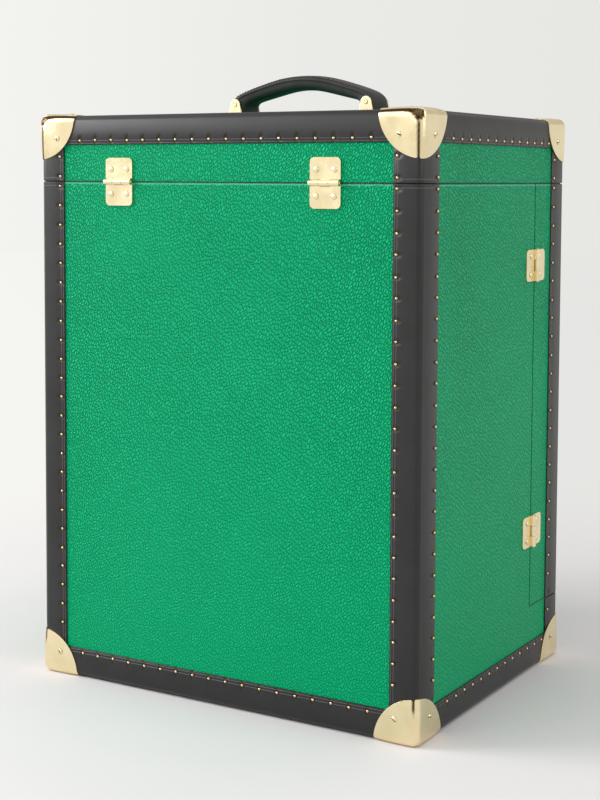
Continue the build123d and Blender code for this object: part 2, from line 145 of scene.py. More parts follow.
def remapped(tree, value, start, end, low=0.0, high=1.0, ease="LINEAR"):
    """A value that goes from low to high while the given one goes from start to end."""
    sockets = {"Value": value, "From Min": start, "From Max": end, "To Min": low, "To Max": high}
    return add(tree, "MapRange", sockets, interpolation_type=ease), "Result"


def line_at(tree, distance, middle, width):
    """1 on a line at middle, fading to 0 over width."""
    away = math_of(tree, "ABSOLUTE", math_of(tree, "SUBTRACT", distance, middle))
    return remapped(tree, away, 0.0, width, 1.0, 0.0, "SMOOTHSTEP")


def colours(tree, source, *stops):
    """A colour ramp over source; each stop is (place, linear colour)."""
    ramp = add(tree, "ValToRGB", {"Fac": source})
    elements = ramp.color_ramp.elements
    while len(elements) < len(stops):
        elements.new(0.5)
    for element, (place, colour) in zip(elements, stops):
        element.position = place
        element.color = (*colour, 1)
    return ramp, "Color"


def blended(tree, share, under, over):
    """One colour laid over another: none of it at a share of 0, all of it at 1."""
    sockets = {"Factor": share, mix_under: under, mix_over: over}
    return add(tree, "Mix", sockets, data_type="RGBA"), mixed_colour


def raised(tree, shader, height, depth, strength=1.0):
    """Bump the shader by a height of 0 to 1 over depth metres."""
    bump = add(tree, "Bump", {"Height": height, "Distance": depth, "Strength": strength})
    feed(tree, (bump, "Normal"), (shader, "Normal"))


# %% [markdown]
# ## Green pebbled leather
# Pebble grain is a net of fine valleys round small swollen islands. A flat cell texture, on the cover's own
# map of the hide, gives the distance to the nearest valley, and noise bends the net so that no island is a
# neat polygon. A hide is rolled in one direction, so the islands are drawn out, leaning a little. The
# valleys are painted darker, as painted shade, and the crowns lighter, as a painted highlight. A pale line
# just under the lid is a painted highlight, where the body's rolled fold catches the light from above. The
# grain is boldest at the top of the case and flatter, with softer valleys, towards its foot, where its
# colour is also painted flatter and darker, as painted shade.

# %% Where lid, door and body part
split_gap = 1 * mm
lid_split = (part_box("lid_leather")[0].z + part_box("body_leather")[1].z) / 2
door_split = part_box("door_leather")[1].y + split_gap / 2
door_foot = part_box("door_leather")[0].z
plinth_top = door_foot - split_gap
print("lid parts at", *in_mm(lid_split), "door at", *in_mm(door_split), "plinth at", *in_mm(plinth_top))

# %% Pebble grain
grain_lean, grain_length = math.radians(32), 1.8
net_scale, net_bend = 230.0, 0.0020       # the noise that bends the valleys, by up to a millimetre
pebble_scale, pebble_evenness = 430.0, 0.9
island_edge = 0.42                        # in cells: full height is this far from the valley
pebble_depth = 0.0010


def pebbles(tree, place):
    """The islands of the grain, and their height with the hide's pores on them."""
    drawn = add(tree, "Mapping", {"Vector": (place, "UV"), "Rotation": (0, 0, grain_lean),
                                  "Scale": (1, grain_length, 1)}, vector_type="TEXTURE")
    wander, _ = noise(tree, (drawn, "Vector"), net_scale, 2.0)
    centred = vector_of(tree, "SUBTRACT", (wander, "Color"), (0.5, 0.5, 0.5))
    pushed = add(tree, "VectorMath", {0: centred, "Scale": net_bend}, operation="SCALE")
    bent_net = vector_of(tree, "ADD", (drawn, "Vector"), (pushed, "Vector"))
    cells = add(tree, "TexVoronoi", {"Vector": bent_net, "Scale": pebble_scale,
                                     "Randomness": pebble_evenness},
                voronoi_dimensions="2D", feature="DISTANCE_TO_EDGE")
    island = remapped(tree, (cells, "Distance"), 0.0, island_edge, ease="SMOOTHERSTEP")
    pores = noise(tree, (place, "Object"), 2600.0, 2.0)
    return island, math_of(tree, "MULTIPLY_ADD", pores, 0.12, island)


# %% Green leather
# The valley green is painted shade and the crown green a painted highlight, round the leather's own body
# green.
valley_green, body_green, crown_green = (0.0, 0.17, 0.06), (0.0, 0.33, 0.128), (0.008, 0.44, 0.195)
# The green of a painted highlight along the fold just under the lid.
fold_highlight_green = (0.10, 0.50, 0.31)
# Between these heights the grain's bump grows, and the painted shade towards the foot fades out.
flattest_at, boldest_at = 0.04, 0.42      # metres above the floor, where the grain stops changing
flattest, boldest = 0.4, 1.25
fold_below_split, fold_width = 1.7 * mm, 1.1 * mm
door_gap_shade_width = 1.6 * mm


def darker(colour, share):
    """A share of a colour's light, as a socket takes it."""
    return (*(share * part for part in colour), 1)


def pebbled_leather(name, beside_door):
    """The cover's green; beside the door the line of its gap is darkened with painted shade."""
    finish, tree, shader, place = new_finish(name, 0.42)
    shader.inputs["Specular IOR Level"].default_value = 0.22
    shader.inputs["Specular Tint"].default_value = (0.05, 1.0, 0.7, 1)
    island, height = pebbles(tree, place)
    upright = parts_of(tree, (place, "Object"))
    bold_and_lit = remapped(tree, (upright, "Z"), flattest_at, boldest_at, flattest, boldest)
    raised(tree, shader, math_of(tree, "MULTIPLY", height, bold_and_lit), pebble_depth)
    cloud = noise(tree, (place, "Object"), 9.0, 3.0)
    shade = math_of(tree, "MULTIPLY_ADD", cloud, 0.35, height)
    # The ramp paints the valleys darker, as painted shade, and the crowns lighter, as a painted highlight.
    tone = colours(tree, shade, (0.12, valley_green), (0.5, body_green), (1.0, crown_green))
    # Painted shade: towards the foot the colour is blended into a flat, darker green, as the light from above
    # falls off.
    tone = blended(tree, math_of(tree, "SUBTRACT", 1.0, bold_and_lit), tone, darker(body_green, 0.8))
    # Painted highlight: a pale line just under the lid, where the body's rolled fold catches the light from
    # above.
    fold_highlight = line_at(tree, (upright, "Z"), lid_split - fold_below_split, fold_width)
    tone = blended(tree, fold_highlight, tone, (*fold_highlight_green, 1))
    if beside_door:
        # Painted shade: a dark line in the door's gap, above the plinth.
        above = math_of(tree, "GREATER_THAN", (upright, "Z"), plinth_top)
        door_gap_shade = line_at(tree, (upright, "Y"), door_split, door_gap_shade_width)
        tone = blended(tree, math_of(tree, "MULTIPLY", door_gap_shade, above), tone, darker(valley_green, 0.35))
    feed(tree, tone, (shader, "Base Color"))
    feed(tree, remapped(tree, island, 0.0, 1.0, 0.5, 0.31), (shader, "Roughness"))
    return finish


green_leather = pebbled_leather("green_pebbled_leather", beside_door=True)
lid_green_leather = pebbled_leather("green_pebbled_leather_of_lid", beside_door=False)
print("green leather", len(green_leather.node_tree.nodes), "nodes")

# %% [markdown]
# ## Black binding leather
# The binding is smooth calf with a fine hair grain. The maker runs a hot iron along it, which leaves two
# creases near its inner edge and one beside the opening, and every nail pulls the leather into a small
# pucker. The creases are also painted lighter, as a painted highlight, and the puckers darker, as painted
# shade. Each strip carries a map: across is the distance from its inner edge, and along counts the nails,
# so that every nail is at a whole number. The flaps are padded, so the bump also leans them back a little
# towards their outer edge, and most of all along the top of the lid.

# %% Marks on the binding
nail_pitch = 18.65 * mm
nail_line = 4.2 * mm                      # from a strip's inner edge
binding_width = 28 * mm
outer_low = Vector((*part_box("lid_binding")[0].xy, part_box("body_binding")[0].z))
outer_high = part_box("lid_binding")[1]
edge_crease, split_crease, crease_width = 1.6 * mm, 3.7 * mm, 0.4 * mm
pucker_reach, pucker_stretch = 7 * mm, 1.7
padding_starts, padding_ends = 6 * mm, 35 * mm
side_lean, extra_top_lean = 9.0, 15.0


def worked(tree, place, height, mark):
    """Put the iron's creases, the nails' puckers and the padding's lean into a height, and into the tone a
    painted highlight on the creases and painted shade at the puckers.
    """
    strip = parts_of(tree, (place, "UV"))
    upright = parts_of(tree, (place, "Object"))
    across = (strip, "Y")

    def less(level, feature, amount):
        return math_of(tree, "SUBTRACT", level, math_of(tree, "MULTIPLY", feature, amount))

    def squared(length):
        return math_of(tree, "MULTIPLY", length, length)

    from_split = math_of(tree, "ABSOLUTE", math_of(tree, "SUBTRACT", (upright, "Z"), lid_split))
    near_edge = line_at(tree, across, edge_crease, crease_width)
    under_nails = line_at(tree, across, nail_line, crease_width)
    beside_split = line_at(tree, from_split, split_crease, crease_width)
    creases = math_of(tree, "MAXIMUM", math_of(tree, "MAXIMUM", near_edge, under_nails), beside_split)
    nearest = math_of(tree, "SUBTRACT", (strip, "X"), math_of(tree, "ROUND", (strip, "X")))
    along = math_of(tree, "MULTIPLY", nearest, pucker_stretch * nail_pitch)
    beside = math_of(tree, "SUBTRACT", across, nail_line)
    from_nail = math_of(tree, "SQRT", math_of(tree, "ADD", squared(along), squared(beside)))
    pucker = line_at(tree, from_nail, 0.0, pucker_reach)
    height = less(less(height, creases, 0.8), pucker, 2.6)
    lean = math_of(tree, "POWER", remapped(tree, across, padding_starts, padding_ends), 2.0)
    on_top = math_of(tree, "GREATER_THAN", (upright, "Z"), outer_high.z - binding_width)
    height = less(height, lean, math_of(tree, "MULTIPLY_ADD", on_top, extra_top_lean, side_lean))
    # Painted highlight: the creases raise the tone towards the lightest black; painted shade: the puckers
    # lower it.
    mark = math_of(tree, "ADD", mark, math_of(tree, "MULTIPLY", creases, 0.8))
    return height, less(mark, pucker, 0.3)


# %% Black leather
# The lightest black is a painted highlight, reached on the iron's creases.
darkest_black, highlight_black = (0.006, 0.006, 0.006), (0.11, 0.10, 0.102)
leather_depth = 0.0003


def smooth_leather(name, creased, black=(0.018, 0.017, 0.018), gloss=0.42, roughness=0.36):
    finish, tree, shader, place = new_finish(name, roughness)
    shader.inputs["Specular IOR Level"].default_value = gloss
    grain = noise(tree, (place, "Object"), 1900.0, 4.0, Roughness=0.6)
    hide = noise(tree, (place, "Object"), 35.0, 4.0)
    height = math_of(tree, "MULTIPLY", grain, 0.22)
    mark = math_of(tree, "MULTIPLY", hide, 0.25)
    if creased:
        height, mark = worked(tree, place, height, mark)
    raised(tree, shader, height, leather_depth)
    tone = colours(tree, mark, (0.0, darkest_black), (0.2, black), (0.7, highlight_black))
    feed(tree, tone, (shader, "Base Color"))
    return finish


binding_leather = smooth_leather("black_binding_leather", True)
handle_leather = smooth_leather("black_handle_leather", False, (0.046, 0.042, 0.043), 0.28, 0.5)
print("black leather", len(binding_leather.node_tree.nodes), "nodes")

# %% [markdown]
# ## Polished brass
# The fittings are pale, lacquered brass. Handling leaves broad soft clouds in the shine and the buffing
# wheel leaves very fine scratches. Where two sheets of a corner cap meet, the polish can't reach and the
# metal goes brown. Round the foot of each head and nail, and in the screws' slots, the same brown is painted
# shade. The corner caps, the heads and the nails carry both in one point attribute.

# %% Brass
# The brown of the caps' tarnish, also used as painted shade on heads and nails.
tarnish_and_shade_brown = (0.06, 0.027, 0.006, 1)
scratch_depth, scratch_strength = 0.00001, 0.12


def polished_brass(name, roughness, with_tarnish_and_shade=False, dull=(0.88, 0.74, 0.45), bright=(0.95, 0.82, 0.54)):
    finish, tree, shader, place = new_finish(name, roughness, metallic=1.0)
    cloud = noise(tree, (place, "Object"), 60.0, 3.0)
    shine = remapped(tree, cloud, 0.3, 0.7, roughness - 0.05, roughness + 0.07)
    feed(tree, shine, (shader, "Roughness"))
    tone = colours(tree, cloud, (0.3, dull), (0.7, bright))
    if with_tarnish_and_shade:
        # The attribute browns the caps' tarnished hollows and paints shade round heads and nails and in
        # slots.
        seam = add(tree, "Attribute", attribute_name="seam")
        tone = blended(tree, (seam, "Fac"), tone, tarnish_and_shade_brown)
    feed(tree, tone, (shader, "Base Color"))
    buffing = noise(tree, (place, "Object"), 900.0, 2.0)
    raised(tree, shader, buffing, scratch_depth, scratch_strength)
    return finish


brass = polished_brass("polished_brass", 0.22)
cap_brass = polished_brass("cap_brass", 0.2, with_tarnish_and_shade=True)
nail_brass = polished_brass("nail_brass", 0.16, True, (0.74, 0.53, 0.28), (0.84, 0.64, 0.37))
print("brass", len(brass.node_tree.nodes), "nodes")

# %% [markdown]
# ## Plywood, walnut and suede
# These are inside, and show when the lid and door open. Plywood shows its plies on the cut edge, so the
# bands run across the board's thickness, which is x, y or z. Walnut grain is noise drawn out along the
# length of the piece. Suede is a short nap: a fine noise with a soft sheen and brushed patches.

# %% Woods and suede
ply_pitch = 2.25 * mm                     # two plies, a pale and a dark one
drawn_out = 0.08                          # how much a pattern is slowed down along the wood's grain
ply_depth, walnut_depth, nap_depth = 0.0001, 0.00008, 0.0004


def plywood(name, thickness_axis):
    finish, tree, shader, place = new_finish(name, 0.6)
    parts = parts_of(tree, (place, "Object"))
    through = math_of(tree, "MULTIPLY", (parts, thickness_axis), 2 * math.pi / ply_pitch)
    fibre = noise(tree, (place, "Object"), 420.0, 4.0, Distortion=0.4)
    tone = math_of(tree, "MULTIPLY_ADD", math_of(tree, "SINE", through), 0.22, fibre)
    birch = colours(tree, tone, (0.2, (0.30, 0.18, 0.09)), (0.5, (0.52, 0.36, 0.20)),
                    (0.8, (0.64, 0.49, 0.30)))
    feed(tree, birch, (shader, "Base Color"))
    raised(tree, shader, tone, ply_depth)
    return finish


def walnut(name, stretch):
    finish, tree, shader, place = new_finish(name, 0.35)
    shader.inputs["Coat Weight"].default_value = 0.2
    along = add(tree, "Mapping", {"Vector": (place, "Object"), "Scale": stretch})
    rings = noise(tree, (along, "Vector"), 70.0, 6.0, Distortion=1.2)
    pores = noise(tree, (along, "Vector"), 900.0, 2.0)
    tone = math_of(tree, "MULTIPLY_ADD", pores, 0.25, rings)
    browns = colours(tree, tone, (0.35, (0.030, 0.013, 0.006)), (0.6, (0.095, 0.045, 0.020)),
                     (0.85, (0.19, 0.10, 0.05)))
    feed(tree, browns, (shader, "Base Color"))
    raised(tree, shader, tone, walnut_depth)
    return finish


def suede(name):
    finish, tree, shader, place = new_finish(name, 0.9)
    shader.inputs["Sheen Weight"].default_value = 0.5
    shader.inputs["Sheen Roughness"].default_value = 0.4
    nap = noise(tree, (place, "Object"), 1400.0, 3.0)
    brushed = noise(tree, (place, "Object"), 14.0, 4.0, Distortion=0.8)
    tone = math_of(tree, "MULTIPLY_ADD", nap, 0.35, brushed)
    blacks = colours(tree, tone, (0.4, (0.016, 0.016, 0.017)), (1.0, (0.045, 0.043, 0.042)))
    feed(tree, blacks, (shader, "Base Color"))
    raised(tree, shader, nap, nap_depth)
    return finish


ply = {axis: plywood("birch_ply_" + axis.lower(), axis) for axis in "XYZ"}
walnut_along_x = walnut("walnut_along_x", (drawn_out, 1, 1))
walnut_along_y = walnut("walnut_along_y", (1, drawn_out, 1))
black_suede = suede("black_suede")
print("woods and suede made")

# %% [markdown]
# ## Finishes on the plain nodes
# A CAD node whose shape is right keeps its mesh and only gets a better finish in its material slots. Boards,
# inside fittings and linings are of that kind.

# %% Dress the plain nodes
plain_nodes = [
    (ply["X"], ("left_board", "right_board", "lid_left_board", "lid_right_board", "door_left_board",
                "door_right_board")),
    (ply["Y"], ("back_board", "plinth_board", "lid_front_board", "lid_back_board", "door_front_board")),
    (ply["Z"], ("floor_board", "lid_top_board", "door_bottom_board")),
    (walnut_along_x, ("tray_wall", "long_divider", "shelf", "door_shelf")),
    (walnut_along_y, ("cross_dividers", "shelf_cleats")),
    (black_suede, ("body_lining", "lid_lining", "door_lining"))]
for finish, nodes in plain_nodes:
    for node in nodes:
        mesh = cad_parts[node].data
        mesh.materials.clear()
        mesh.materials.append(finish)
print("plain nodes dressed", sum(len(nodes) for finish, nodes in plain_nodes))

# %% [markdown]
# ## Softened copies of the CAD
# Real metal and leather never end in a knife edge. The CAD mesh itself is never changed, so this copies it,
# merges its loose triangles and joins the flat ones into whole faces. A U-shaped face, like the rim of the
# door, is cut into convex ones, or Blender may fill its mouth. Then each edge that turns by more than 30
# degrees is rounded. A weighted-normal modifier keeps the flats flat and lets only the round edges catch
# the light.

# %% Helpers for pieces
merge_distance, flat_turn, sharp_turn = 0.002 * mm, 1.5, 30     # the turns are degrees


def put_on_case(name, shape, body, finish, stands_for=()):
    """Turn a bmesh into a piece that rides on a body, and stands for its CAD nodes."""
    for face in shape.faces:
        face.smooth = True
    mesh = bpy.data.meshes.new(name)
    shape.to_mesh(mesh)
    shape.free()
    mesh.materials.append(finish)
    piece = bpy.data.objects.new(name, mesh)
    scene.collection.objects.link(piece)
    piece.modifiers.new("flats_stay_flat", "WEIGHTED_NORMAL").keep_sharp = True
    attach(piece, body)
    if stands_for:
        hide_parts(*stands_for)
    print(name, len(mesh.polygons), "faces")
    return piece


def merged_copy(node):
    """The node's mesh as a bmesh with its loose triangles joined."""
    shape = bmesh.new()
    shape.from_mesh(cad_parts[node].data)
    bmesh.ops.remove_doubles(shape, verts=shape.verts, dist=merge_distance)
    bmesh.ops.dissolve_limit(shape, angle_limit=math.radians(flat_turn), verts=shape.verts,
                             edges=shape.edges)
    bmesh.ops.connect_verts_concave(shape, faces=shape.faces)
    return shape


def sharp_edges(shape, least=sharp_turn):
    """The edges where two faces meet at more than so many degrees."""
    return [edge for edge in shape.edges
            if len(edge.link_faces) == 2 and edge.calc_face_angle() > math.radians(least)]


def round_over(shape, edges, radius, segments=2):
    """Round edges off with a bevel."""
    bmesh.ops.bevel(shape, geom=edges, offset=radius, offset_type="OFFSET", segments=segments, profile=0.5,
                    affect="EDGES", clamp_overlap=True, material=-1)


def all_of(shape):
    return [*shape.verts, *shape.edges, *shape.faces]


def points_in(geometry):
    return [part for part in geometry if isinstance(part, bmesh.types.BMVert)]


def add_shape(whole, part, matrix=None):
    """Put one bmesh into another, at a matrix."""
    mesh = bpy.data.meshes.new("part")
    part.to_mesh(mesh)
    if matrix is not None:
        mesh.transform(matrix)
        if matrix.determinant() < 0:
            mesh.flip_normals()
    whole.from_mesh(mesh)
    bpy.data.meshes.remove(mesh)


def facing(point, outward, turn=0.0):
    """A place at point whose Z looks outward."""
    looking = Vector(outward).to_track_quat("Z", "Y").to_matrix().to_4x4()
    return Matrix.Translation(point) @ looking @ Matrix.Rotation(turn, 4, "Z")


# %% [markdown]
# ## Green covers
# Each cover is one folded sheet of leather, so its folds are rounder than a board's edge. Its grain needs a
# map that is in metres on every side of the case. Every flat side takes the two coordinates that run along
# it, which keeps the pebbles the same size all round.

# %% Green covers
cover_fold_radius = 0.75 * mm


def cover(name, node, body, finish):
    """A leather cover with a map of the hide: metres across each flat side, for its grain."""
    shape = merged_copy(node)
    round_over(shape, sharp_edges(shape), cover_fold_radius, 3)
    hide_map = shape.loops.layers.uv.new("hide_map")
    for face in shape.faces:
        facing_axis = max(range(3), key=lambda axis: abs(face.normal[axis]))
        for loop in face.loops:
            loop[hide_map].uv = [loop.vert.co[axis] for axis in range(3) if axis != facing_axis]
    put_on_case(name, shape, body, finish, [node])


cover("body_cover", "body_leather", "case_body", green_leather)
cover("lid_cover", "lid_leather", "lid", lid_green_leather)
cover("door_cover", "door_leather", "door", green_leather)

# %% [markdown]
# ## Hinges, clasps and brackets
# These are cast or stamped in brass and tumbled before they are polished, which takes off the edges. Their
# CAD shape is right, so a copy with softened edges is all that they need.

# %% Hinges, clasps and brackets
fitting_radius = 0.35 * mm
own_bodies = ("front_hasp", "lower_hasp", "upper_hasp", "front_bolt", "lower_bolt", "upper_bolt")
fittings = (
    ("lid_hinge_body_leaves", "case_body"), ("door_hinge_body_leaves", "case_body"),
    ("lid_hinge_lid_leaves", "lid"), ("door_hinge_door_leaves", "door"),
    ("body_keepers", "case_body"), ("lid_keeper", "lid"), ("clasp_bases", "door"),
    ("handle_brackets", "lid"), ("door_rails", "door"), *((part, part) for part in own_bodies))
for node, body in fittings:
    shape = merged_copy(node)
    round_over(shape, sharp_edges(shape), fitting_radius)
    put_on_case("rounded_" + node, shape, body, brass, [node])

# %% [markdown]
# ## Black bindings
# Each edge of the case is bound with one long strip, folded over the edge like an L, with its two flaps
# glued over the green leather. The section is a face of a few corners, slightly crowned because the leather
# is padded by its own glued fold. It is extruded along the edge, its outer corner and its two lips are
# rounded with a bevel, and where three strips meet at a corner of the case they are cut to a mitre with two
# planes.

# %% Sizes of the bindings
x_axis, y_axis, z_axis = 0, 1, 2
side_binding_widths = {-1: 31 * mm, 1: 35 * mm}      # at the front and at the back
binding_thickness = outer_high.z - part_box("lid_leather")[1].z
crown = 0.8 * mm                                     # the surface falls this much towards its inner edge
flat_until, falling_at, fallen_there = 14 * mm, 21 * mm, 0.32 * crown
inner_fold = 1.8 * binding_thickness
fold_radius, lip_radius, end_radius = 6 * mm, 0.7 * mm, 0.6 * mm
same_place = 1e-7                                    # points closer than this, in metres, are the same
print("bindings from", in_mm(*outer_low, *outer_high))


# %% Helpers for strips
def section_of(width_a, width_b):
    """The L of a strip: a runs inward along one face, b along the other, from the sharp outer corner."""
    def flap(width):
        return [(flat_until, 0.0), (falling_at, fallen_there), (width, crown), (width, binding_thickness),
                (inner_fold, binding_thickness)]
    return [(0.0, 0.0)] + flap(width_a) + [(b, a) for a, b in reversed(flap(width_b))]


def cut_mitre(shape, end, towards):
    """Cut one end of a strip on the two 45 degree planes that it shares with its neighbours."""
    for normal in ((1, 0, towards), (0, 1, towards)):
        cut = bmesh.ops.bisect_plane(shape, geom=all_of(shape), plane_co=(0, 0, end), plane_no=normal,
                                     clear_outer=True)["geom_cut"]
        rim = [part for part in cut if isinstance(part, bmesh.types.BMEdge)]
        bmesh.ops.edgenet_fill(shape, edges=rim)


def strip_shape(width_a, width_b, start, end, mitre_start, mitre_end, first_nail):
    """One strip along Z in its own coordinates, with its map of nails."""
    shape = bmesh.new()
    corners = [shape.verts.new((a, b, start)) for a, b in section_of(width_a, width_b)]
    top = bmesh.ops.extrude_face_region(shape, geom=[shape.faces.new(corners)], use_keep_orig=True)["geom"]
    bmesh.ops.translate(shape, vec=(0, 0, end - start), verts=points_in(top))
    bmesh.ops.recalc_face_normals(shape, faces=shape.faces)

    def lies_at(edge, axis, place):
        return all(abs(vert.co[axis] - place) < same_place for vert in edge.verts)

    def lengthwise(a, b):
        return [edge for edge in shape.edges if lies_at(edge, x_axis, a) and lies_at(edge, y_axis, b)]

    def round_end(height):
        rim = [edge for edge in sharp_edges(shape) if lies_at(edge, z_axis, height)]
        round_over(shape, rim, end_radius, 3)

    round_over(shape, lengthwise(0, 0), fold_radius, 8)
    round_over(shape, lengthwise(width_a, crown) + lengthwise(crown, width_b), lip_radius, 3)
    for height, mitred, towards in ((start, mitre_start, -1), (end, mitre_end, 1)):
        if mitred:
            cut_mitre(shape, height, towards)
        else:
            round_end(height)
    bmesh.ops.recalc_face_normals(shape, faces=shape.faces)
    nail_map = shape.loops.layers.uv.new("nail_map")
    for face in shape.faces:
        for loop in face.loops:
            a, b, along = loop.vert.co
            loop[nail_map].uv = ((along - first_nail) / nail_pitch, min(width_a - a, width_b - b))
    return shape


# %% [markdown]
# ## Where the strips and nails go
# Every strip follows one axis at one corner of the other two. The nails are a hand's work: evenly paced, but
# each a little off, so a seeded random shift of under half a millimetre and a slight tilt go onto each. One
# small dome is made once and repeated.

# %% The rows of nails
both = (-1, 1)
body_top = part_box("body_leather")[1].z
lid_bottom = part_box("lid_leather")[0].z
first_upright_nail, first_lid_nail, first_short_nail = 481.2 * mm, 491.1 * mm, 101.5 * mm
short_pitch = 18.35 * mm
long_row, short_row, upright_row = 18, 13, 24
upright_nails = [first_upright_nail - nail_pitch * count for count in range(upright_row)]
door_nails, plinth_nails = upright_nails[:22], upright_nails[23:]     # none right at the door's foot
lid_nails = [first_lid_nail, first_lid_nail + nail_pitch]
long_nails = [nail_pitch * (count - (long_row - 1) / 2) for count in range(long_row)]
short_nails = [first_short_nail - short_pitch * count for count in range(short_row)]
print("nails in a row", len(long_nails), "along,", len(short_nails), "across,", len(upright_nails), "upright")


# %% One nail
def cut_ball(radius, height, sides, rows, foot, foot_shade_until, brown):
    """A squashed ball with its foot cut off a little below its middle, and brown painted shade round its
    foot.
    """
    ball = bmesh.new()
    seam = ball.verts.layers.float.new("seam")
    bmesh.ops.create_uvsphere(ball, u_segments=sides, v_segments=rows, radius=radius)
    bmesh.ops.scale(ball, vec=(1, 1, height / radius), verts=ball.verts)
    bmesh.ops.bisect_plane(ball, geom=all_of(ball), plane_co=(0, 0, -foot), plane_no=(0, 0, -1),
                           clear_outer=True)
    for vert in ball.verts:
        # Painted shade: brown that grows towards the foot, where the head meets what is under it.
        vert[seam] = max(0.0, 1 - vert.co.z / foot_shade_until) * brown
    return ball


nail_radius = 1.6 * mm
# The nail's brown foot is painted shade where it sinks into the leather.
nail = cut_ball(nail_radius, nail_radius, sides=9, rows=6, foot=0.2 * mm, foot_shade_until=1.45 * mm, brown=1.0)
print("one nail has", len(nail.faces), "faces")

# %% Strips and nails for each body
hand = random.Random(11)
off_line, off_pace, off_upright = 0.3, 0.4, 0.07     # millimetres, millimetres and radians
nail_sunk = 0.8 * crown


def strip_frame(axis, signs):
    """The matrix from a strip's own axes, a, b and its length, to one edge of the case."""
    place = Matrix.Identity(4)
    others = [other for other in range(3) if other != axis]
    for column, (other, sign) in enumerate(zip(others, signs)):
        place.col[column] = Vector([-sign if row == other else 0 for row in range(3)] + [0])
        place[other][3] = (outer_high if sign > 0 else outer_low)[other]
    place.col[2] = Vector([1 if row == axis else 0 for row in range(3)] + [0])
    return place


def nail_places(spots, widths, place):
    """A matrix for each nail of a strip, in pairs on its two flaps, with the hand's small errors."""
    rows = ((widths[0] - nail_line, nail_sunk, (0, -1, 0)), (nail_sunk, widths[1] - nail_line, (-1, 0, 0)))
    for spot in spots:
        for a, b, out in rows:
            point = Vector((a + hand.uniform(-off_line, off_line) * mm,
                            b + hand.uniform(-off_line, off_line) * mm,
                            spot + hand.uniform(-off_pace, off_pace) * mm))
            for part, value in enumerate(out):
                if value:
                    point[part] = nail_sunk
            lean = Vector((hand.uniform(-off_upright, off_upright) for _ in range(3)))
            yield facing(place @ point, place.to_3x3() @ (Vector(out) + lean))


def bind(body_name, body, strips):
    """strips: (axis, signs on the other two axes, start, end, mitred at start, mitred at end, nails)."""
    binding, nails, count = bmesh.new(), bmesh.new(), 0
    for axis, signs, start, end, mitre_start, mitre_end, spots in strips:
        place = strip_frame(axis, signs)
        widths = (binding_width, side_binding_widths[signs[1]] if axis == z_axis else binding_width)
        add_shape(binding, strip_shape(*widths, start, end, mitre_start, mitre_end, spots[0]), place)
        for nail_place in nail_places(spots, widths, place):
            add_shape(nails, nail, nail_place)
            count += 1
    put_on_case(body_name + "_binding_strips", binding, body, binding_leather,
                [body_name + "_binding"])
    put_on_case(body_name + "_nails", nails, body, nail_brass)
    return count


def rows_along(axis, height_sign):
    """The two mitred strips along the long or short edges at the top or the foot of the case."""
    spots = long_nails if axis == x_axis else short_nails
    return [(axis, (side, height_sign), outer_low[axis], outer_high[axis], True, True, spots)
            for side in both]


nail_count = bind("body", "case_body", [
    *((z_axis, (x, 1), outer_low.z, body_top, True, False, upright_nails) for x in both),
    *((z_axis, (x, -1), outer_low.z, plinth_top, True, False, plinth_nails) for x in both),
    *rows_along(x_axis, -1), *rows_along(y_axis, -1)])
nail_count += bind("lid", "lid", [
    *((z_axis, (x, y), lid_bottom, outer_high.z, False, True, lid_nails) for x in both for y in both),
    *rows_along(x_axis, 1), *rows_along(y_axis, 1)])
nail_count += bind("door", "door", [
    (z_axis, (x, -1), door_foot, body_top, False, False, door_nails) for x in both])
print("nails", nail_count)

# %% [markdown]
# ## Rim tape
# The cut edges of the boards would show as bare plywood along every opening. A maker glues a thin black
# leather tape over them. It also closes most of the gap between body, lid and door, so that no light comes
# through. Each run is a thin block with softened edges, laid on the rim of its own body.

# %% Sizes of the tape
tape_thickness, tape_radius = 0.47 * mm, 0.12 * mm
inside_x = 194.4 * mm                     # the tape ends just short of the lining's inner face
leather_margin = Vector((0.7, 0.7)) * mm  # and of the leather's outer face
lining_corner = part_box("body_lining")[1]
wall_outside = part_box("lid_leather")[1].xy - leather_margin
wall_inside = lining_corner.xy - Vector((lining_corner.x - inside_x,) * 2)
door_edge, body_edge = door_split - split_gap / 2, door_split + split_gap / 2
print("walls from", in_mm(*wall_inside, *wall_outside, digits=2), "door edge", *in_mm(door_edge, digits=2))


# %% Rim tape
def lay_tape(name, body, runs):
    """runs: (low corner, high corner) of each strip of tape."""
    tape = bmesh.new()
    for low, high in runs:
        strip = bmesh.new()
        bmesh.ops.create_cube(strip, size=1)
        bmesh.ops.scale(strip, vec=Vector(high) - Vector(low), verts=strip.verts)
        bmesh.ops.translate(strip, vec=(Vector(low) + Vector(high)) / 2, verts=strip.verts)
        round_over(strip, strip.edges[:], tape_radius)
        add_shape(tape, strip)
    put_on_case(name, tape, body, handle_leather)


def side_runs(y_low, y_high, z_low, z_high):
    """The same run of tape on the left and right walls."""
    return [((min(a, b), y_low, z_low), (max(a, b), y_high, z_high))
            for a, b in ((wall_inside.x, wall_outside.x), (-wall_inside.x, -wall_outside.x))]


def cross_run(side, z_low, z_high):
    """A run of tape on the back wall (side 1) or the front wall (side -1), between the side walls."""
    low, high = sorted((side * wall_inside.y, side * wall_outside.y))
    return ((-wall_inside.x, low, z_low), (wall_inside.x, high, z_high))


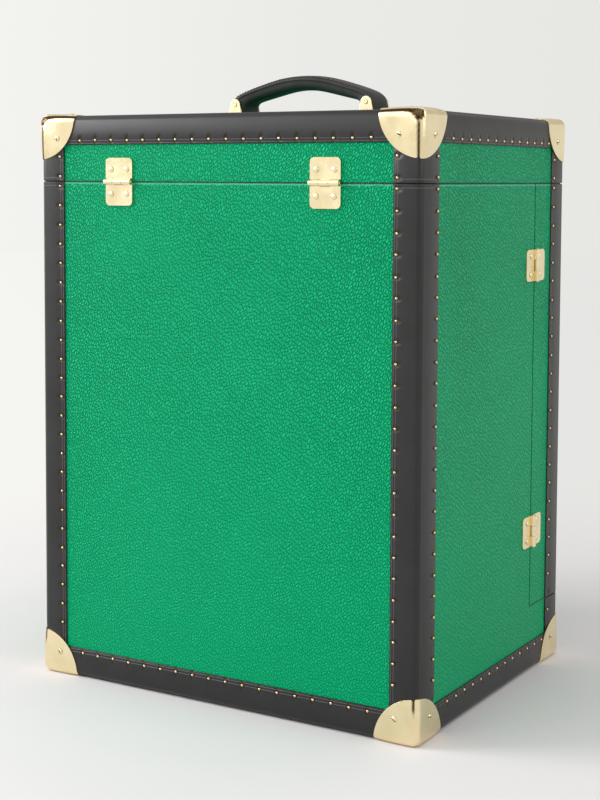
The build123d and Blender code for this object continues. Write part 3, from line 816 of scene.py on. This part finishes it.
rim, rim_lid = (body_top, body_top + tape_thickness), (lid_bottom - tape_thickness, lid_bottom)
foot, rim_plinth = (door_foot - tape_thickness, door_foot), (plinth_top, plinth_top + tape_thickness)
wall_front, wall_back = -wall_outside.y, wall_outside.y
lay_tape("lid_rim_tape", "lid", [
    *side_runs(wall_front, wall_back, *rim_lid), cross_run(1, *rim_lid), cross_run(-1, *rim_lid)])
lay_tape("body_rim_tape", "case_body", [
    *side_runs(body_edge, wall_back, *rim), cross_run(1, *rim),
    *side_runs(body_edge - tape_thickness, body_edge, plinth_top, body_top),
    *side_runs(wall_front, body_edge - tape_thickness, *rim_plinth), cross_run(-1, *rim_plinth)])
lay_tape("door_rim_tape", "door", [
    *side_runs(wall_front, door_edge, *rim), cross_run(-1, *rim),
    *side_runs(door_edge, door_edge + tape_thickness, door_foot, body_top),
    *side_runs(wall_front, door_edge, *foot), cross_run(-1, *foot)])

# %% [markdown]
# ## Corner caps
# A brass corner is pressed from one sheet into three quarter-round flaps. Here one flap starts as a row of
# points that is spun through a quarter turn into a flat quarter disc. Its two straight sides are then bent
# down over the case's edges, half of the bend each, so that three such flaps meet in a smooth, round corner.
# The press leaves a groove beside the upright edge, with a small notch where the flaps part. On the lid's
# caps the sheet is also tucked in along the back or front edge, widest at the corner itself, where the folds
# crowd together. The flaps swell a little between rim and corner. The same numbers write the attribute
# that browns the brass with tarnish in these hollows.

# %% Sizes of the caps
cap_reach, cap_bend, cap_sheet = 43 * mm, 7 * mm, 1.1 * mm
cap_crown, crown_starts = 0.9 * mm, 20 * mm    # the flaps swell this much, and fall from here to their rim
side_stretch = 1.1                             # the side flaps reach a little further than the others
flap_steps = 44
row_reaches = [0, 1, 2, 3, 4, 5, 6, 7, 8, 9.5, 11, 13, 15, 20, 25, 30, 34, 37, 39.5, 41.2, 42.2, 42.7, 43]
groove_line, groove_reach, groove_run_in = 3.6 * mm, 2.4 * mm, 9 * mm
notch_length, notch_depth = 5 * mm, 2.6 * mm
tuck_widest, tuck_growth_reach, tuck_growth_power, tuck_edge = 10.5 * mm, 20 * mm, 2.5, 0.9 * mm
tuck_depth, tuck_run_in = 0.9, 2.5 * mm
crumple_reach, crumple_waves = 12 * mm, (2.6, 2.1)
patch_size, patch_edges = (2.8 * mm, 9.5 * mm), (1.2 * mm, 2 * mm)
corner_reach = 9 * mm
cap_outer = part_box("base_corners")
cap_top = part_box("top_corners")[1].z
print("caps reach out to", in_mm(*cap_outer[1].xy, cap_top))


# %% Helpers for the caps
def bent(x, y):
    """A point of the flat flap after its sides at x = 0 and y = 0 are bent down, and the way inward."""
    lean = [math.tan(math.pi / 4 * (1 - min(way, cap_bend) / cap_bend)) for way in (x, y)]
    inward = Vector((*lean, 1)).normalized()
    return Vector((max(x, cap_bend), max(y, cap_bend), cap_bend)) - inward * cap_bend, inward


def held(share):
    """A share kept between 0 and 1."""
    return min(1.0, max(0.0, share))


def eased(share):
    """0 to 1 with soft ends."""
    share = held(share)
    return share * share * (3 - 2 * share)


def groove_at(down, side, run):
    """How deep the groove is, and how far its notch is cut back, at a spot of the flap."""
    near = eased(1 - abs(side - groove_line) / groove_reach)
    notch = near * max(0.0, down - cap_reach + notch_length) / notch_length * notch_depth
    return near * eased((down - run) / groove_run_in), notch


def tuck_at(spot, reach, tucked_side, width, growth):
    """How deep the tuck is, how brown, and how crumpled, at a spot of the flap."""
    side, along = spot[tucked_side], spot[1 - tucked_side]
    grown = width + growth * max(0.0, 1 - along / tuck_growth_reach) ** tuck_growth_power
    dark = eased((min(tuck_widest, grown) - side) / tuck_edge + 0.5)
    across, lengthwise = (math.sin(wave * way / mm) for wave, way in zip(crumple_waves, (side, along)))
    crumpled = eased(1.6 * (1 - reach / crumple_reach)) * across * lengthwise
    depth = tuck_depth * dark * min(1.0, along / tuck_run_in)
    return depth, dark * (1 - 0.5 * max(0.0, crumpled)), crumpled


def patch_at(spot):
    """How brown a flap is in the patch close to its corner."""
    a, b = (eased((size - way) / edge) for size, way, edge in zip(patch_size, spot, patch_edges))
    return a * b


# %% One flap of a cap
def one_flap(run=None, tuck=None, patched=False):
    """A flap in the plane z = 0 with the case towards +Z; its sides are 0 and 1.

    A groove lies beside side 1, from run to the rim. A tuck is (its side, its width, its growth at the
    corner). A patch browns side 0 close to the corner.
    """
    flap = bmesh.new()
    seam = flap.verts.layers.float.new("seam")
    row = [flap.verts.new((reach * mm, 0, 0)) for reach in row_reaches]
    edges = [flap.edges.new(pair) for pair in zip(row, row[1:])]
    bmesh.ops.spin(flap, geom=[*row, *edges], cent=(0, 0, 0), axis=(0, 0, 1), angle=math.pi / 2,
                   steps=flap_steps)
    bmesh.ops.remove_doubles(flap, verts=flap.verts, dist=0.001 * mm)
    for vert in flap.verts:
        reach = vert.co.length
        turn = math.pi / 4 * (1 - math.cos(2 * math.atan2(vert.co.y, vert.co.x)))
        spot = [reach * math.cos(turn), reach * math.sin(turn)]
        sunk = tone = crumpled = 0.0
        if run is not None:
            sunk, notch = groove_at(*spot, run)
            tone = min(1.0, 1.4 * sunk)
            spot[0] -= notch
        if tuck:
            depth, brown, crumpled = tuck_at(spot, reach, *tuck)
            sunk, tone = max(sunk, depth), max(tone, brown)
        if patched:
            tone = max(tone, patch_at(spot))
        vert[seam] = tone
        place, inward = bent(*spot)
        towards_rim = held((reach - crown_starts) / (cap_reach - crown_starts))
        at_corner = max(0.0, 1 - reach / corner_reach)
        lost = (0.7 * sunk + 0.4 * at_corner ** 2 + 0.3 * crumpled) * mm + towards_rim ** 2 * cap_crown
        vert.co = place + inward * (lost - cap_crown)
    return flap


# %% Corner caps
cap_edge_turn, cap_edge_radius = 50, 0.25 * mm
flap_gap = 0.02 * mm
top_tuck, upright_tuck = (1, 2.2 * mm, 0.0), (0, 2.3 * mm, 19 * mm)
top_groove_from, base_groove_from = 7 * mm, 27 * mm


def corner_cap(run, tucked):
    """Three flaps that share their bent sides; the groove stands upright along z."""
    cap = bmesh.new()
    turned = Matrix(((0, 0, 1, 0), (1, 0, 0, 0), (0, 1, 0, 0), (0, 0, 0, 1)))
    add_shape(cap, one_flap(tuck=top_tuck if tucked else None))
    add_shape(cap, one_flap(patched=tucked), turned)
    add_shape(cap, one_flap(run, upright_tuck if tucked else None), turned @ turned)
    bmesh.ops.remove_doubles(cap, verts=cap.verts, dist=flap_gap)
    for vert in cap.verts:
        if vert.co.y > cap_bend:
            vert.co.y = cap_bend + (vert.co.y - cap_bend) * side_stretch
        if not tucked:
            vert.co.z = max(0.0, vert.co.z)       # the base caps stand flat on the floor
    bmesh.ops.recalc_face_normals(cap, faces=cap.faces)
    middle = Vector((cap_reach,) * 3)
    if sum(face.normal.dot(face.calc_center_median() - middle) for face in cap.faces) < 0:
        bmesh.ops.reverse_faces(cap, faces=cap.faces)
    bmesh.ops.solidify(cap, geom=cap.faces, thickness=cap_sheet)
    round_over(cap, sharp_edges(cap, cap_edge_turn), cap_edge_radius)
    return cap


def place_caps(name, body, run, height, upward, node):
    caps, shape = bmesh.new(), corner_cap(run, upward > 0)
    for x in both:
        for y in both:
            corner = Matrix.Diagonal((-x, -y, -upward, 1))
            corner.translation = (x * cap_outer[1].x, y * cap_outer[1].y, height)
            add_shape(caps, shape, corner)
    furthest = min((vert.co for vert in caps.verts), key=lambda place: place.x)
    print(name, "reaches", in_mm(*furthest, digits=2))
    put_on_case(name, caps, body, cap_brass, [node])


place_caps("top_caps", "lid", top_groove_from, cap_top, 1, "top_corners")
place_caps("base_caps", "case_body", base_groove_from, 0.0, -1, "base_corners")

# %% [markdown]
# ## Rivets, screws and pins
# The CAD says where each head sits, as a small block of a few flats. A walk over the joined edges of its
# mesh finds the separate blocks, and each gets a true dome: a squashed ball cut at its foot. The screws of
# the corner caps get a slot, cut as a narrow strip of faces and pushed in, and every slot is turned its own
# way, as a screwdriver leaves it.

# %% Helpers for heads
def blocks_of(node):
    """The box of each separate solid in a node, as (centre, size)."""
    shape = merged_copy(node)
    left, found = set(shape.verts), []
    while left:
        walk, block = [left.pop()], []
        while walk:
            vert = walk.pop()
            block.append(vert.co.copy())
            for edge in vert.link_edges:
                other = edge.other_vert(vert)
                if other in left:
                    left.remove(other)
                    walk.append(other)
        low, high = (Vector([pick(co[axis] for co in block) for axis in range(3)]) for pick in (min, max))
        found.append(((low + high) / 2, high - low))
    shape.free()
    return sorted(found, key=lambda found_one: tuple(found_one[0]))


looking_up = 0.2                          # the least Z of such a face's normal


def press_slot(shape, width, depth, floor):
    """A screwdriver slot along Y, in the faces that look up above floor."""
    for side in both:
        bmesh.ops.bisect_plane(shape, geom=all_of(shape), plane_co=(side * width / 2, 0, 0),
                               plane_no=(1, 0, 0))
    strip = []
    for face in shape.faces:
        middle = face.calc_center_median()
        if face.normal.z > looking_up and middle.z > floor and abs(middle.x) < width / 2:
            strip.append(face)
    moved = bmesh.ops.extrude_face_region(shape, geom=strip)["geom"]
    bmesh.ops.translate(shape, vec=(0, 0, -depth), verts=points_in(moved))
    bmesh.ops.delete(shape, geom=[face for face in strip if face.is_valid], context="FACES_ONLY")
    return points_in(moved)


# %% Domes
dome_radius, dome_height = 2.9 * mm, 1.45 * mm
screw_slot = (1.1 * mm, 0.9 * mm)         # its width and depth
cap_rise = 0.65 * mm                      # a screw's head stands higher, on the swell of its cap


def dome(slotted):
    # The brown round the head's foot is painted shade.
    shape = cut_ball(dome_radius, dome_height, sides=20, rows=12, foot=0.1 * mm, foot_shade_until=0.45 * mm,
                     brown=0.9)
    if slotted:
        seam = shape.verts.layers.float["seam"]
        # The slot's floor is painted brown, as shade in the recess.
        for vert in press_slot(shape, *screw_slot, 0.25 * dome_height):
            vert[seam] = 1.0
    return shape


def place_domes(name, node, body):
    rivet_dome, screw_dome = dome(False), dome(True)
    heads, screws = bmesh.new(), 0
    for centre, size in blocks_of(node):
        thin = min(range(3), key=lambda axis: size[axis])
        outward = Vector([0, 0, 0])
        outward[thin] = 1 if thin == z_axis or centre[thin] > 0 else -1
        from_corner = [cap_outer[1][axis] - abs(centre[axis]) for axis in (x_axis, y_axis)]
        in_height = centre.z < cap_reach or centre.z > cap_top - cap_reach
        on_cap = max(from_corner) < cap_reach and in_height
        screws += on_cap
        foot = centre - outward * (size[thin] / 2 - (cap_rise if on_cap else 0.0))
        place = facing(foot, outward, hand.uniform(0, math.pi))
        add_shape(heads, screw_dome if on_cap else rivet_dome, place)
    print(name, "screws", screws)
    put_on_case(name, heads, body, cap_brass, [node])


place_domes("body_dome_heads", "body_rivets", "case_body")
place_domes("lid_dome_heads", "lid_rivets", "lid")
place_domes("door_dome_heads", "door_rivets", "door")

# %% [markdown]
# ## Pins
# The pins of the hinges and of the handle are turned rods. Each is a cylinder along the longest side of its
# CAD block, with its two rims taken off. The handle's pins have a slot at both ends.

# %% Pins
pin_edge_turn, pin_edge_radius = 60, 0.3 * mm
pin_slot = (0.8 * mm, 0.7 * mm)           # its width and depth
slot_turn = 0.7                           # radians, the way the handle pins' slots happen to lie


def place_pins(name, node, body, slotted):
    pins = bmesh.new()
    for centre, size in blocks_of(node):
        long = max(range(3), key=lambda axis: size[axis])
        radius = min(size) / 2
        pin = bmesh.new()
        bmesh.ops.create_cone(pin, cap_ends=True, segments=24, radius1=radius, radius2=radius,
                              depth=size[long])
        round_over(pin, sharp_edges(pin, pin_edge_turn), pin_edge_radius)
        if slotted:
            for _ in both:
                press_slot(pin, *pin_slot, 0.4 * size[long])
                bmesh.ops.rotate(pin, matrix=Matrix.Rotation(math.pi, 3, "Y"), verts=pin.verts)
        outward = [1 if axis == long else 0 for axis in range(3)]
        add_shape(pins, pin, facing(centre, outward, slot_turn))
    put_on_case(name, pins, body, brass, [node])


place_pins("round_hinge_pins", "hinge_pins", "case_body", False)
place_pins("round_handle_pins", "handle_pins", "lid", True)

# %% [markdown]
# ## The carrying handle
# The grip is one strap of black leather folded over a padded core. Seen in section it is crowned on top, has
# a stitched welt on each side where the two layers meet, and a fuller roll below. A ring with that section
# is pushed from foot to foot through a row of stations, each given by one point on the outside of the arch
# and one on its underside. The feet are squarer, because they fill the gap between the brass ears.

# %% Lines of the grip
grip_outside = [(80.3, 549.7), (81.2, 556), (82.2, 561), (82.6, 565.5), (81.6, 569.6), (78.0, 573.2),
                (72.5, 575.9), (64, 578.9), (53, 582.3), (40, 586.0), (26, 589.4), (13, 591.0), (0, 591.5)]
grip_inside = [(67.3, 549.7), (67.1, 556), (66.7, 560), (65.4, 563.0), (62.4, 565.2), (58, 566.3),
               (52.5, 567.5), (45.5, 569.1), (37, 571.1), (28, 573.2), (18.5, 575.3), (8.5, 576.6),
               (0, 576.9)]
grip_half_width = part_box("handle_grip")[1].y
arch_section = [(0, 1), (0.3, 0.985), (0.58, 0.92), (0.78, 0.8), (0.88, 0.6), (0.95, 0.56), (1, 0.46),
                (1, 0.34), (0.95, 0.22), (0.93, -0.05), (0.89, -0.42), (0.77, -0.72), (0.56, -0.92),
                (0.27, -0.99), (0, -1)]
foot_section = [(0, 1), (0.3, 1), (0.6, 1), (0.84, 0.97), (0.95, 0.88), (1, 0.7), (1, 0.4), (1, 0.2),
                (1, 0), (1, -0.3), (1, -0.6), (0.95, -0.86), (0.84, -0.97), (0.4, -1), (0, -1)]


def mirrored(half):
    """A closed section from its right-hand half."""
    return half + [(-across, up) for across, up in reversed(half[1:-1])]


def grip_line(half):
    """The points of one line of the grip from foot to foot, in metres."""
    left = [Vector((-x, 0, z)) * mm for x, z in half]
    return left + [Vector((x, 0, z)) * mm for x, z in reversed(half[:-1])]


stations = list(zip(grip_line(grip_outside), grip_line(grip_inside)))
print("grip stations", len(stations))


# %% Grip
last_station = len(stations) - 1
square_until, square_fade = 5.5, 3        # stations from either foot


def grip_point(station, across, up):
    """The point at a whole or broken station; across and up run from -1 to 1, over its width and height."""
    first = min(int(station), last_station - 1)
    share = station - first
    outside, inside = (stations[first][k].lerp(stations[first + 1][k], share) for k in (0, 1))
    return (outside + inside) / 2 + (outside - inside) / 2 * up + Vector((0, across * grip_half_width, 0))


def ring_at(station):
    """The section at a station, squarer near the feet."""
    from_end = min(station, last_station - station)
    square = held((square_until - from_end) / square_fade)
    pairs = zip(mirrored(arch_section), mirrored(foot_section))
    return [grip_point(station, *(a * (1 - square) + b * square for a, b in zip(arch, foot)))
            for arch, foot in pairs]


def make_grip():
    grip = bmesh.new()
    ring = [grip.verts.new(point) for point in ring_at(0)]
    grip.faces.new(ring)
    for station in range(1, last_station + 1):
        edges = list({edge for vert in ring for edge in vert.link_edges
                      if all(end in ring for end in edge.verts)})
        moved = bmesh.ops.extrude_edge_only(grip, edges=edges)["geom"]
        new = set(points_in(moved))
        ring = [next(edge.other_vert(vert) for edge in vert.link_edges if edge.other_vert(vert) in new)
                for vert in ring]
        for vert, point in zip(ring, ring_at(station)):
            vert.co = point
    grip.faces.new(ring)
    bmesh.ops.recalc_face_normals(grip, faces=grip.faces)
    piece = put_on_case("leather_grip", grip, "lid", handle_leather, ["handle_grip"])
    piece.modifiers.clear()
    smooth = piece.modifiers.new("full_and_round", "SUBSURF")
    smooth.levels = smooth.render_levels = 2


make_grip()

# %% [markdown]
# ## The grip's stitches
# Each stitch is a short, fat stadium of thread that dips into the leather at both ends. The row follows the
# welt, a few millimetres in from its edge, on both sides of the grip.

# %% Stitches
thread = smooth_leather("waxed_thread", False, (0.09, 0.085, 0.085))
stitch_radius, stitch_length, stitch_pitch = 0.45 * mm, 3.0, 3.4 * mm     # its length is in thicknesses
stitch_across, stitch_up = 0.83, 0.77
first_stitch, last_stitch, step = 5.0, last_station - 5, 0.01             # in stations


def make_stitches():
    stitch, row, count = bmesh.new(), bmesh.new(), 0
    bmesh.ops.create_uvsphere(stitch, u_segments=6, v_segments=5, radius=stitch_radius)
    bmesh.ops.scale(stitch, vec=(1, 1, stitch_length), verts=stitch.verts)
    for side in both:
        station, last, gone = first_stitch, None, 0.0
        while station < last_stitch:
            point = grip_point(station, side * stitch_across, stitch_up)
            if last is not None:
                gone += (point - last).length
                if gone >= stitch_pitch:
                    add_shape(row, stitch, facing(point, point - last))
                    gone, count = 0.0, count + 1
            last = point
            station += step
    print("stitches", count)
    put_on_case("grip_stitches", row, "lid", thread)


make_stitches()

# %% [markdown]
# ## The floor
# A pale floor runs out to a background of the same colour. Near the case the floor is a real matt surface
# that takes the shadow; further out it fades into a plain glow of the background's colour, so there is no
# horizon.

# %% Floor
floor_radius, floor_sides = 9.0, 96
shadow_until, glow_from = 0.28, 1.1       # metres from the middle of the case
brighter_way = (0.858, 0.514, 0)          # towards the main lamp


def backdrop(tree, way):
    """The backdrop's colour in a direction: a little brighter on the main lamp's side."""
    level = vector_of(tree, "NORMALIZE", vector_of(tree, "MULTIPLY", way, (1, 1, 0)))
    towards, _ = vector_of(tree, "DOT_PRODUCT", level, brighter_way)
    return colours(tree, math_of(tree, "MULTIPLY_ADD", (towards, "Value"), 0.5, 0.5),
                   (0.38, (0.79, 0.79, 0.77)), (0.5, (0.83, 0.825, 0.80)), (0.62, (0.92, 0.915, 0.88)))


def floor_finish():
    finish, tree, shader, place = new_finish("pale_floor", 0.9)
    shader.inputs["Specular IOR Level"].default_value = 0.1
    dust = noise(tree, (place, "Object"), 3.0, 2.0)
    matt = colours(tree, dust, (0.3, (0.655, 0.635, 0.642)), (0.7, (0.675, 0.655, 0.662)))
    feed(tree, matt, (shader, "Base Color"))
    glow = add(tree, "Emission", {"Color": backdrop(tree, (place, "Object")), "Strength": 1.0})
    distance, _ = vector_of(tree, "LENGTH", (place, "Object"))
    far = remapped(tree, (distance, "Value"), shadow_until, glow_from, ease="SMOOTHERSTEP")
    blend = add(tree, "MixShader", {"Fac": far, 1: (shader, "BSDF"), 2: (glow, "Emission")})
    output = next(node for node in tree.nodes if node.type == "OUTPUT_MATERIAL")
    feed(tree, (blend, "Shader"), (output, "Surface"))
    return finish


def lay_floor():
    shape = bmesh.new()
    bmesh.ops.create_circle(shape, cap_ends=True, cap_tris=False, segments=floor_sides,
                            radius=floor_radius)
    mesh = bpy.data.meshes.new("floor")
    shape.to_mesh(mesh)
    shape.free()
    mesh.materials.append(floor_finish())
    floor = bpy.data.objects.new("floor", mesh)
    scene.collection.objects.link(floor)


lay_floor()
print("floor out to", floor_radius, "m")

# %% [markdown]
# ## The light
# Three soft square lamps light the case: the main one at the left, and two weaker ones above and at the
# right that open the shadow. The surround goes from the pale backdrop through a darker band to a white
# ceiling. Brass and leather mirror those three bands, which is what makes their bends readable.

# %% Lamps and surround
lamp_aim = Vector((0, 0, 0.25))
lamps = (("left_soft_lamp", (1.9, 1.1, 1.3), 1.1, 42),         # name, place, side in metres, watts
         ("top_soft_lamp", (0.9, 1.8, 1.7), 2.2, 16),
         ("right_soft_lamp", (-1.8, 0.2, 1.3), 1.4, 11))
dim_band, ceiling = (0.46, (0.60, 0.57, 0.54)), (0.68, (0.9, 0.9, 0.9))
backdrop_until, room_from = 0.13, 0.25                         # heights in the surround, where 1 is overhead


def light_studio():
    world = bpy.data.worlds.new("studio")
    scene.world = world
    world.use_nodes = True
    tree = world.node_tree
    tree.nodes.clear()
    way = add(tree, "TexCoord")
    height = (parts_of(tree, (way, "Generated")), "Z")
    room = blended(tree, remapped(tree, height, backdrop_until, room_from),
                   backdrop(tree, (way, "Generated")), colours(tree, height, dim_band, ceiling))
    light = add(tree, "Background", {"Color": room, "Strength": 1.0})
    add(tree, "OutputWorld", {"Surface": (light, "Background")})
    for name, place, side, power in lamps:
        lamp = bpy.data.objects.new(name, bpy.data.lights.new(name, "AREA"))
        lamp.data.energy = power
        lamp.data.size = side
        lamp.location = place
        lamp.rotation_euler = (lamp_aim - lamp.location).to_track_quat("-Z", "Y").to_euler()
        scene.collection.objects.link(lamp)
    scene.view_settings.view_transform = "Standard"


light_studio()
print("lamps", len(lamps))
